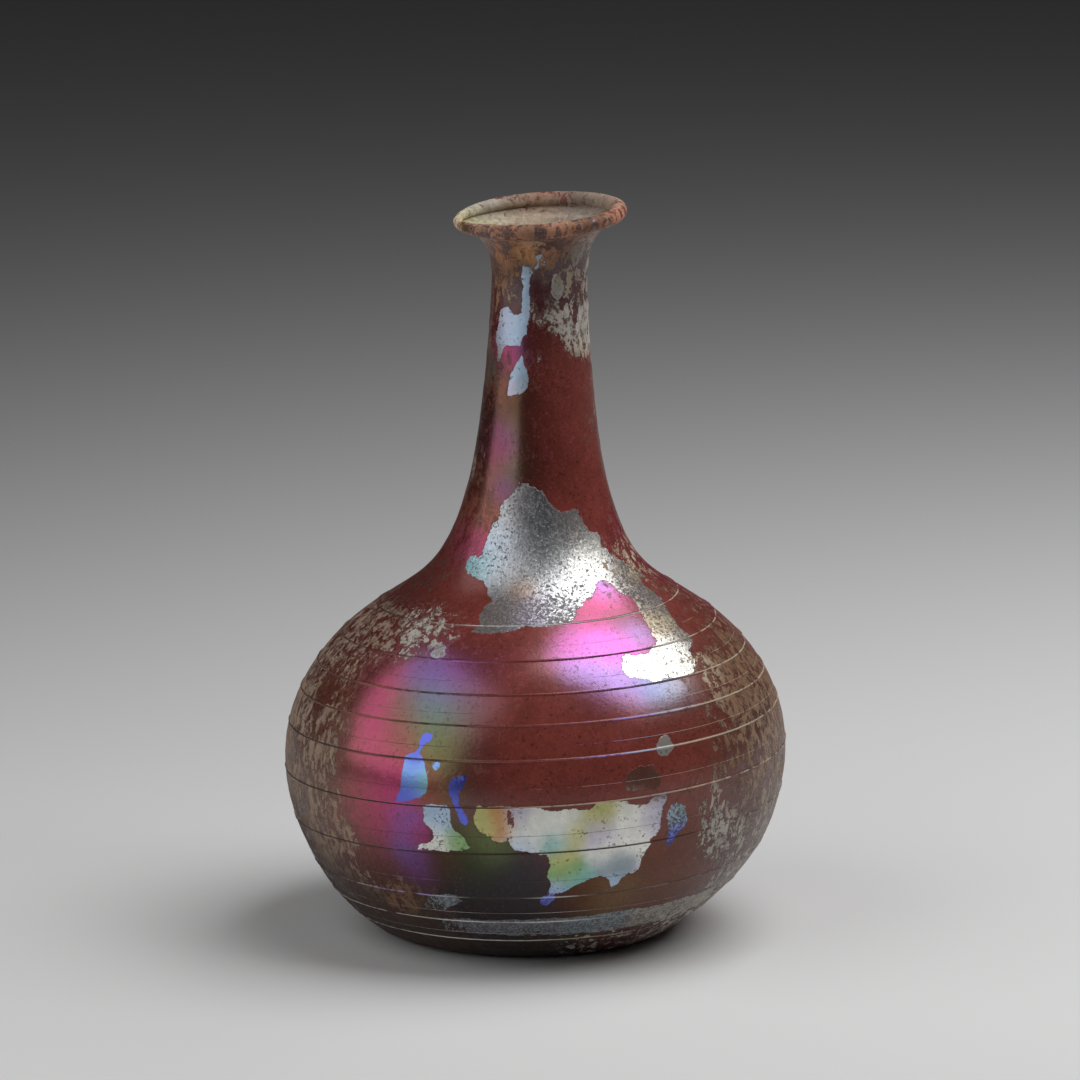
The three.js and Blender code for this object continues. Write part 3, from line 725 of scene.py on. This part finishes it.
def mesh_from(corners, blocks, name):
    """A mesh in which points that share a place are one. Returns which points were kept"""
    _, kept, number = np.unique(np.round(corners, 6), axis=0, return_index=True,
                                return_inverse=True)
    number = number.ravel()
    faces = []
    for face in (number[face] for block in blocks for face in block):
        face = [corner for i, corner in enumerate(face) if corner != face[i - 1]]
        if len(set(face)) > 2:
            faces.append(face)
    mesh = bpy.data.meshes.new(name)
    mesh.from_pydata((corners[kept] * MM).tolist(), [], faces)
    return mesh, kept


# ---------------------------------------------------------------------------------------------
# Shader building
# ---------------------------------------------------------------------------------------------

class Wire:
    """A value in a material. Sums and products of it add the Math nodes that work them out"""

    def __init__(self, finish, socket):
        self.finish, self.socket = finish, socket

    def _math(self, operation, *values, clamp=False):
        settings = {"operation": operation, "use_clamp": clamp}
        return self.finish.node("ShaderNodeMath", settings, dict(enumerate(values)))

    def __add__(self, other):
        return self._math("ADD", self, other)

    def __sub__(self, other):
        return self._math("SUBTRACT", self, other)

    def __rsub__(self, other):
        return self._math("SUBTRACT", other, self)

    def __mul__(self, other):
        return self._math("MULTIPLY", self, other)

    __radd__, __rmul__ = __add__, __mul__

    def larger(self, other):
        return self._math("MAXIMUM", self, other)

    def distance(self):
        return self._math("ABSOLUTE", self)

    def rise(self, low, high):
        """Nothing up to the low value and one from the high value on"""
        sockets = {"Value": self, "From Min": low, "From Max": high}
        return self.finish.node("ShaderNodeMapRange", {"clamp": True}, sockets)


class Finish:
    """A material and the nodes in it"""

    def __init__(self, name):
        self.material = bpy.data.materials.new(name)
        self.material.use_nodes = True
        self.tree = self.material.node_tree
        self.tree.nodes.clear()

    def node(self, kind, settings=None, sockets=None, output=0):
        """Adds a node: its settings first, then the values or links of its sockets"""
        node = self.tree.nodes.new(kind)
        for name, value in (settings or {}).items():
            setattr(node, name, value)
        for key, value in (sockets or {}).items():
            if isinstance(value, Wire):
                self.tree.links.new(value.socket, node.inputs[key])
            else:
                node.inputs[key].default_value = value
        return Wire(self, node.outputs[output]) if node.outputs else node

    def attribute(self, name, output="Fac"):
        return self.node("ShaderNodeAttribute", {"attribute_name": name}, output=output)

    def mix(self, start, end, part):
        """A blend of two colours"""
        settings = {"data_type": "RGBA", "clamp_factor": True}
        return self.node("ShaderNodeMix", settings, {0: part, 6: start, 7: end}, output=2)

    def tinted(self, colour, tint, part=1.0):
        settings = {"data_type": "RGBA", "blend_type": "MULTIPLY"}
        return self.node("ShaderNodeMix", settings, {0: part, 6: colour, 7: tint}, output=2)

    def mottle(self, place, size, detail=3.0, roughness=0.6):
        """Noise about one half, with patches about as wide as a size in metres"""
        sockets = {"Vector": place, "Scale": 0.6 / size, "Detail": detail, "Roughness": roughness}
        return self.node("ShaderNodeTexNoise", {}, sockets)

    def jagged(self, place, size, reach):
        """The place moved about at random, so that what is drawn there gets torn edges"""
        sockets = {"Vector": place, "Scale": 0.6 / size, "Detail": 3.0}
        noise_colour = self.node("ShaderNodeTexNoise", {}, sockets, output=1)
        step = self.node("ShaderNodeVectorMath", {"operation": "SUBTRACT"},
                         {0: noise_colour, 1: (0.5, 0.5, 0.5)})
        step = self.node("ShaderNodeVectorMath", {"operation": "SCALE"},
                         {0: step, "Scale": 2 * reach})
        return self.node("ShaderNodeVectorMath", {"operation": "ADD"}, {0: place, 1: step})

    def chips(self, place, size):
        """A random value for each chip of a crackled surface"""
        sockets = {"Vector": place, "Scale": 1 / size}
        return self.node("ShaderNodeTexVoronoi", {}, sockets, output=1)

    def grey(self, value):
        return self.node("ShaderNodeCombineColor", {}, {0: value, 1: value, 2: value})

    def stretched(self, place, stretch):
        return self.node("ShaderNodeVectorMath", {"operation": "MULTIPLY"}, {0: place, 1: stretch})


def opaque(colour):
    return (*colour, 1.0)


GLASS_ROUGHNESS, GLASS_IOR, GLASS_CLARITY = 0.25, 1.5, 0.25
FILM_ROUGHNESS, PEARL_ROUGHNESS, EARTH_ROUGHNESS = 0.2, 0.42, 0.85
PEARL_METAL = 0.65


def weathered_glass_with_painted_shade(colours):
    """Red glass under an iridescent film, silvery and opal skins and earthy crusts, with painted
    shade low on the body and painted light and shade along the thread
    """
    finish = Finish("weathered_glass_with_painted_shade")
    # Dark umber for pits and stains, and for the painted shadow along the thread
    dirt_and_shade = opaque(colours["umber"])
    place = finish.node("ShaderNodeTexCoord", output="Object")
    upright = finish.stretched(place, (1, 1, 0.4))
    fine = finish.mottle(place, 0.35 * MM, detail=2)
    medium = finish.mottle(place, 1.1 * MM, detail=4, roughness=0.65)
    broad = finish.mottle(place, 4 * MM)
    strokes = finish.mottle(upright, 0.22 * MM, detail=3)
    chips = finish.chips(finish.jagged(upright, 0.8 * MM, 1.0 * MM), 0.7 * MM)
    crumbs = finish.chips(finish.jagged(place, 0.3 * MM, 0.4 * MM), 0.28 * MM)

    # The thread: its crest is rubbed light and carries a painted highlight, its furrow holds dirt
    # and a painted shadow
    thread = finish.attribute("thread_offset")
    near_thread = 1 - thread.distance().rise(0.07, 0.16)
    broken = (finish.attribute("thread_amount") + (medium - 0.5) * 1.6).rise(0.35, 0.6)
    thread_wear_and_shading = near_thread * broken

    # The glass, with dark pits and a light dust
    pocks = finish.mottle(place, 0.3 * MM, detail=1).rise(0.61, 0.70)
    dust = ((crumbs - 0.5) + (broad - 0.5) * 0.6 + (strokes - 0.5) * 0.6).rise(0.16, 0.34)
    shade = 0.35 + medium * 0.8 + broad * 0.5
    glass = finish.tinted(finish.attribute("glass_tone", "Color"), finish.grey(shade))
    glass = finish.mix(glass, opaque(colours["soot"]), pocks * 0.5)
    glass = finish.mix(glass, opaque(colours["rose"]), dust * 0.22)
    # Dirt and a painted shadow along the thread darken the bare glass
    glass = finish.mix(glass, dirt_and_shade, thread_wear_and_shading * 0.5)

    # The skins: a flake's depth is made ragged, and pits show where it is worn
    ragged = (fine - 0.5) * 0.5 + (medium - 0.5) * 1.1
    silver = (finish.attribute("silver_depth") + ragged * 1.5).rise(-0.03, 0.05)
    silver_wear = finish.attribute("silver_amount")
    silver_pits = (silver_wear * 0.55 + (strokes - 0.5) * 0.9
                   + (crumbs - 0.5) * 0.7).rise(0.19, 0.36)
    pearl = (finish.attribute("pearl_depth") + ragged * 0.9).rise(-0.03, 0.05)
    pearl_wear = finish.attribute("pearl_amount")
    pearl_pits = (pearl_wear * 0.55 + (medium - 0.5) * 0.7 + (crumbs - 0.5) * 0.7).rise(0.26, 0.4)
    blue = (finish.attribute("blue_depth") + ragged * 0.3).rise(-0.03, 0.05)
    pile = ((chips - 0.5) * 0.9 + (medium - 0.5) * 1.3 + (crumbs - 0.5) * 0.5
            + finish.attribute("crust_amount") * 1.9 - 0.95)
    crust = pile.rise(-0.02, 0.05)
    stain = pile.rise(-0.55, 0.05)

    film = finish.attribute("film_amount") * (0.75 + medium * 0.5) * (1 - pocks * 0.5)
    skin = finish.tinted(finish.attribute("film_tone", "Color"), finish.grey(0.8 + fine * 0.4))
    silver_tone = finish.tinted(finish.attribute("silver_tone", "Color"),
                                finish.grey(0.35 + strokes * 1.1 + (medium - 0.5) * 0.5))
    silver_tone = finish.mix(silver_tone, dirt_and_shade, silver_pits * 0.7)
    skin = finish.mix(skin, silver_tone, silver)
    pearl_tone = finish.tinted(finish.attribute("pearl_tone", "Color"),
                               finish.grey(0.65 + medium * 0.65))
    pearl_tone = finish.mix(pearl_tone, dirt_and_shade, pearl_pits * 0.7)
    skin = finish.mix(skin, pearl_tone, pearl)
    skin = finish.mix(skin, finish.attribute("blue_tone", "Color"), blue)
    stained = stain * (1 - silver) * (1 - pearl)
    stain_tone = finish.mix(finish.attribute("crust_tone", "Color"), dirt_and_shade, 0.75)
    skin = finish.mix(skin, stain_tone, stained * (1 - film))
    crust_shade = 0.25 + chips * 0.55 + fine * 0.5 + pile.rise(0, 0.3) * 0.35
    crust_tone = finish.tinted(finish.attribute("crust_tone", "Color"), finish.grey(crust_shade))
    skin = finish.mix(skin, crust_tone, crust)
    # The thread's line colour: dirt and painted shadow, worn crest and painted highlight
    skin = finish.mix(skin, finish.attribute("thread_tone", "Color"), thread_wear_and_shading)

    pits = (silver * silver_pits).larger(pearl * pearl_pits)
    earthy = pits.larger(crust).larger(thread_wear_and_shading).larger(stained * 0.7)
    metallic = 1.0 - silver * 0.1
    metallic = metallic + pearl * (PEARL_METAL - metallic)
    metallic = metallic - metallic * earthy
    rough = FILM_ROUGHNESS + silver * 0.12 + strokes * 0.08
    rough = rough + pearl * (PEARL_ROUGHNESS - rough)
    rough = rough + earthy * (EARTH_ROUGHNESS - rough)
    height = (silver * (0.05 + strokes * 0.07) + pearl * (0.05 + medium * 0.04)
              + crust * (0.05 + pile * 0.12 + fine * 0.06) - pits * 0.05 + fine * 0.016)
    normal = finish.node("ShaderNodeBump", {}, {
        "Strength": 1.0, "Distance": MM, "Height": height})
    glass_shader = finish.node("ShaderNodeBsdfPrincipled", {}, {
        "Base Color": glass, "Roughness": GLASS_ROUGHNESS, "IOR": GLASS_IOR,
        "Transmission Weight": GLASS_CLARITY, "Normal": normal})
    skin_shader = finish.node("ShaderNodeBsdfPrincipled", {}, {
        "Base Color": skin, "Metallic": metallic, "Roughness": rough, "IOR": GLASS_IOR,
        "Normal": normal})
    cover = silver.larger(pearl).larger(blue).larger(crust).larger(film).larger(thread_wear_and_shading)
    cover = cover.larger(stained * 0.75)
    shader = finish.node("ShaderNodeMixShader", {}, {0: cover, 1: glass_shader, 2: skin_shader})
    finish.node("ShaderNodeOutputMaterial", {}, {"Surface": shader})
    return finish.material


# ---------------------------------------------------------------------------------------------
# The add-on
# ---------------------------------------------------------------------------------------------

# The stage, in metres and degrees. A lamp's place and the way it faces from are an azimuth from
# the front, to the right, and an elevation
LAMP_CENTRE_HEIGHT = 0.03
KEY_PLACE, KEY_DISTANCE, KEY_FACING, KEY_SIZE = (92, 56), 0.48, (68, 86), (0.42, 0.46)
SIDE_PLACE, SIDE_DISTANCE, SIDE_SIZE = (-67, 33), 0.30, (0.35, 0.37)
FLOOR_REACH, FLOOR_ROUGHNESS = 4.0, 0.8
STUDIO_GREY, STUDIO_STRENGTH = 0.5, 0.03
SENSOR_WIDTH = 36
BODY_MIDDLE_HEIGHT = 26.03 * MM
CAMERA_AIM = Vector((0.7, 0, 59.5)) * MM


class FlaskSizes(PropertyGroup):
    """Sizes of the blown flask's finer forms"""

    thread_width: FloatProperty(
        name="Thread width", description="Width of the trailed thread at its foot",
        default=0.36 * MM, min=0.2 * MM, max=1 * MM, subtype="DISTANCE", unit="LENGTH")
    thread_height: FloatProperty(
        name="Thread height", description="How far the thread stands proud of the wall",
        default=0.12 * MM, min=0, max=0.35 * MM, subtype="DISTANCE", unit="LENGTH")
    wave_height: FloatProperty(
        name="Wave height", description="Slight waves that blowing left in the wall",
        default=0.05 * MM, min=0, max=0.2 * MM, subtype="DISTANCE", unit="LENGTH")
    crust_height: FloatProperty(
        name="Crust height", description="Roughness of the thickest crusts",
        default=0.14 * MM, min=0, max=0.3 * MM, subtype="DISTANCE", unit="LENGTH")


class FlaskColours(PropertyGroup):
    """Colours of the glass and of the layers that time has laid on it; some also serve as painted
    shade
    """

    __annotations__ = {
        key: FloatVectorProperty(name=label, description=note, default=default, min=0, max=1,
                                 subtype="COLOR")
        for key, (label, note, default) in COLOURS.items()}


class StageSettings(PropertyGroup):
    """The studio round the flask"""

    floor_colour: FloatVectorProperty(
        name="Floor", description="Colour of the plain floor", default=(0.78, 0.78, 0.78),
        min=0, max=1, subtype="COLOR")
    key_power: FloatProperty(
        name="Key lamp", description="Power of the large softbox at the upper right",
        default=2.2, min=0, unit="POWER")
    side_power: FloatProperty(
        name="Side lamp", description="Power of the tall softbox at the left",
        default=0.42, min=0, unit="POWER")
    camera_distance: FloatProperty(
        name="Camera distance", description="From the middle of the body to the camera",
        default=0.95, min=0.2, subtype="DISTANCE", unit="LENGTH")
    camera_elevation: FloatProperty(
        name="Camera elevation", description="How far the camera looks down on the body",
        default=math.radians(13.2), subtype="ANGLE", unit="ROTATION")
    lens: FloatProperty(
        name="Lens", description="Focal length of the camera", default=208.33, min=20,
        unit="CAMERA")


def set_attribute(mesh, name, values):
    values = np.asarray(values, np.float32)
    if values.ndim == 1:
        layer = mesh.attributes.new(name, "FLOAT", "POINT")
        layer.data.foreach_set("value", values)
    else:
        layer = mesh.attributes.new(name, "FLOAT_COLOR", "POINT")
        colours = np.concatenate([values, np.ones((len(values), 1), np.float32)], 1)
        layer.data.foreach_set("color", colours.ravel())


class UNGUENTARIUM_OT_blow_flask(Operator):
    """Blow the flask with its thread, its flaking skins and its crusts"""

    bl_idname = "unguentarium.blow_flask"
    bl_label = "Blow the flask"
    bl_options = {"REGISTER", "UNDO"}

    def execute(self, context):
        sizes = context.scene.flask_sizes
        colours = {key: np.array(getattr(context.scene.flask_colours, key)) for key in COLOURS}
        skin = build_skin(sizes)
        radius, height, column, travel, off_thread = np.concatenate(skin.rows).T
        turn = column_angle(column)
        angle = (np.degrees(turn) + 90 + 180) % 360 - 180
        upright = np.stack([radius * np.cos(turn), radius * np.sin(turn), height], -1)
        sideways = WANDER_REACH * noise_at(upright, WANDER_SIZE)
        along = WANDER_REACH * noise_at(upright, WANDER_SIZE, SECOND_WANDER)
        surface = (angle + np.degrees(sideways / np.maximum(radius, SMALLEST_RADIUS)),
                   travel + along, radius)
        marks = {"thread_offset": off_thread}
        for name, flakes in FLAKES.items():
            marks[f"{name}_depth"] = deepest(flakes, surface)
        for name, tones in TONES.items():
            marks[f"{name}_tone"], marks[f"{name}_amount"] = blend_tones(tones, colours, surface)

        waves = sizes.wave_height / MM * (noise_at(upright, WAVE_SIZE) - 1)
        lumps = (sizes.crust_height / MM * marks["crust_amount"]
                 * noise_at(upright, LUMP_SIZE, LUMP_START))
        across = np.hypot(upright[:, 0], upright[:, 1]) / np.maximum(radius, 1)
        grown = radius + across * np.where(travel < 0, 0, waves + lumps)
        corners = as_blown(grown, height, turn)
        corners = np.clip(corners, np.array(CAD_LOW) / MM, np.array(CAD_HIGH) / MM)
        mesh, kept = mesh_from(corners, skin.faces, "blown_flask")
        for name, values in marks.items():
            set_attribute(mesh, name, values[kept])
        piece = bpy.data.objects.new("blown_flask", mesh)
        context.collection.objects.link(piece)
        mesh.polygons.foreach_set("use_smooth", np.ones(len(mesh.polygons), bool))
        mesh.materials.append(weathered_glass_with_painted_shade(colours))
        mesh.validate()
        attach(piece, "root")
        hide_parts("flask")
        return {"FINISHED"}


def towards(azimuth, elevation):
    """A direction from the flask, with the azimuth from the front and to the right"""
    turn, rise = math.radians(azimuth), math.radians(elevation)
    return Vector((math.sin(turn) * math.cos(rise), -math.cos(turn) * math.cos(rise),
                   math.sin(rise)))


def add_softbox(context, name, place, facing, size, power):
    """A rectangular lamp at a place, whose light goes against the direction it faces from"""
    lamp = bpy.data.lights.new(name, "AREA")
    lamp.shape, lamp.size, lamp.size_y, lamp.energy = "RECTANGLE", *size, power
    holder = bpy.data.objects.new(name, lamp)
    context.collection.objects.link(holder)
    holder.location = place
    holder.rotation_mode = "QUATERNION"
    holder.rotation_quaternion = (-facing).to_track_quat("-Z", "Y")
    return holder


class UNGUENTARIUM_OT_set_stage(Operator):
    """Set the plain floor, the two softboxes and the camera"""

    bl_idname = "unguentarium.set_stage"
    bl_label = "Set the stage"
    bl_options = {"REGISTER", "UNDO"}

    def execute(self, context):
        stage = context.scene.unguentarium_stage
        mesh = bpy.data.meshes.new("floor")
        corners = [(x * FLOOR_REACH, y * FLOOR_REACH, 0)
                   for x, y in ((-1, -1), (1, -1), (1, 1), (-1, 1))]
        mesh.from_pydata(corners, [], [(0, 1, 2, 3)])
        floor = bpy.data.objects.new("floor", mesh)
        context.collection.objects.link(floor)
        finish = Finish("floor_paper")
        shader = finish.node("ShaderNodeBsdfPrincipled", {}, {
            "Base Color": opaque(stage.floor_colour), "Roughness": FLOOR_ROUGHNESS})
        finish.node("ShaderNodeOutputMaterial", {}, {"Surface": shader})
        mesh.materials.append(finish.material)

        middle = (CAD_LOW + CAD_HIGH) / 2
        centre = Vector((middle.x, middle.y, CAD_LOW.z + LAMP_CENTRE_HEIGHT))
        add_softbox(context, "key_softbox", centre + KEY_DISTANCE * towards(*KEY_PLACE),
                    towards(*KEY_FACING), KEY_SIZE, stage.key_power)
        add_softbox(context, "side_softbox", centre + SIDE_DISTANCE * towards(*SIDE_PLACE),
                    towards(*SIDE_PLACE), SIDE_SIZE, stage.side_power)

        world = bpy.data.worlds.new("studio")
        world.use_nodes = True
        background = world.node_tree.nodes["Background"]
        background.inputs["Color"].default_value = opaque([STUDIO_GREY] * 3)
        background.inputs["Strength"].default_value = STUDIO_STRENGTH
        context.scene.world = world
        context.scene.view_settings.view_transform = "Standard"

        camera = bpy.data.cameras.new("camera")
        camera.sensor_width, camera.lens = SENSOR_WIDTH, stage.lens
        holder = bpy.data.objects.new("camera", camera)
        context.collection.objects.link(holder)
        body = Vector((0, 0, BODY_MIDDLE_HEIGHT))
        away = Vector((0, -math.cos(stage.camera_elevation), math.sin(stage.camera_elevation)))
        holder.location = body + stage.camera_distance * away
        holder.rotation_mode = "QUATERNION"
        holder.rotation_quaternion = (CAMERA_AIM - holder.location).to_track_quat("-Z", "Y")
        context.scene.camera = holder
        return {"FINISHED"}


class UNGUENTARIUM_PT_panel(Panel):
    """The flask's steps and settings"""

    bl_label = "Roman glass unguentarium"
    bl_idname = "UNGUENTARIUM_PT_panel"
    bl_space_type = "VIEW_3D"
    bl_region_type = "UI"
    bl_category = "Unguentarium"

    def draw(self, context):
        layout = self.layout
        scene = context.scene
        for group in (scene.flask_sizes, scene.flask_colours, scene.unguentarium_stage):
            box = layout.box()
            for key in group.__annotations__:
                box.prop(group, key)
        for step in STEPS:
            layout.operator(step.bl_idname)


STEPS = (UNGUENTARIUM_OT_blow_flask, UNGUENTARIUM_OT_set_stage)
GROUPS = {"flask_sizes": FlaskSizes, "flask_colours": FlaskColours,
          "unguentarium_stage": StageSettings}


def register():
    for item in (*GROUPS.values(), *STEPS, UNGUENTARIUM_PT_panel):
        bpy.utils.register_class(item)
    for name, group in GROUPS.items():
        setattr(bpy.types.Scene, name, PointerProperty(type=group))


def unregister():
    for name in GROUPS:
        delattr(bpy.types.Scene, name)
    for item in reversed((*GROUPS.values(), *STEPS, UNGUENTARIUM_PT_panel)):
        bpy.utils.unregister_class(item)


def main():
    register()
    bpy.ops.unguentarium.blow_flask()
    bpy.ops.unguentarium.set_stage()


if __name__ == "__main__":
    main()
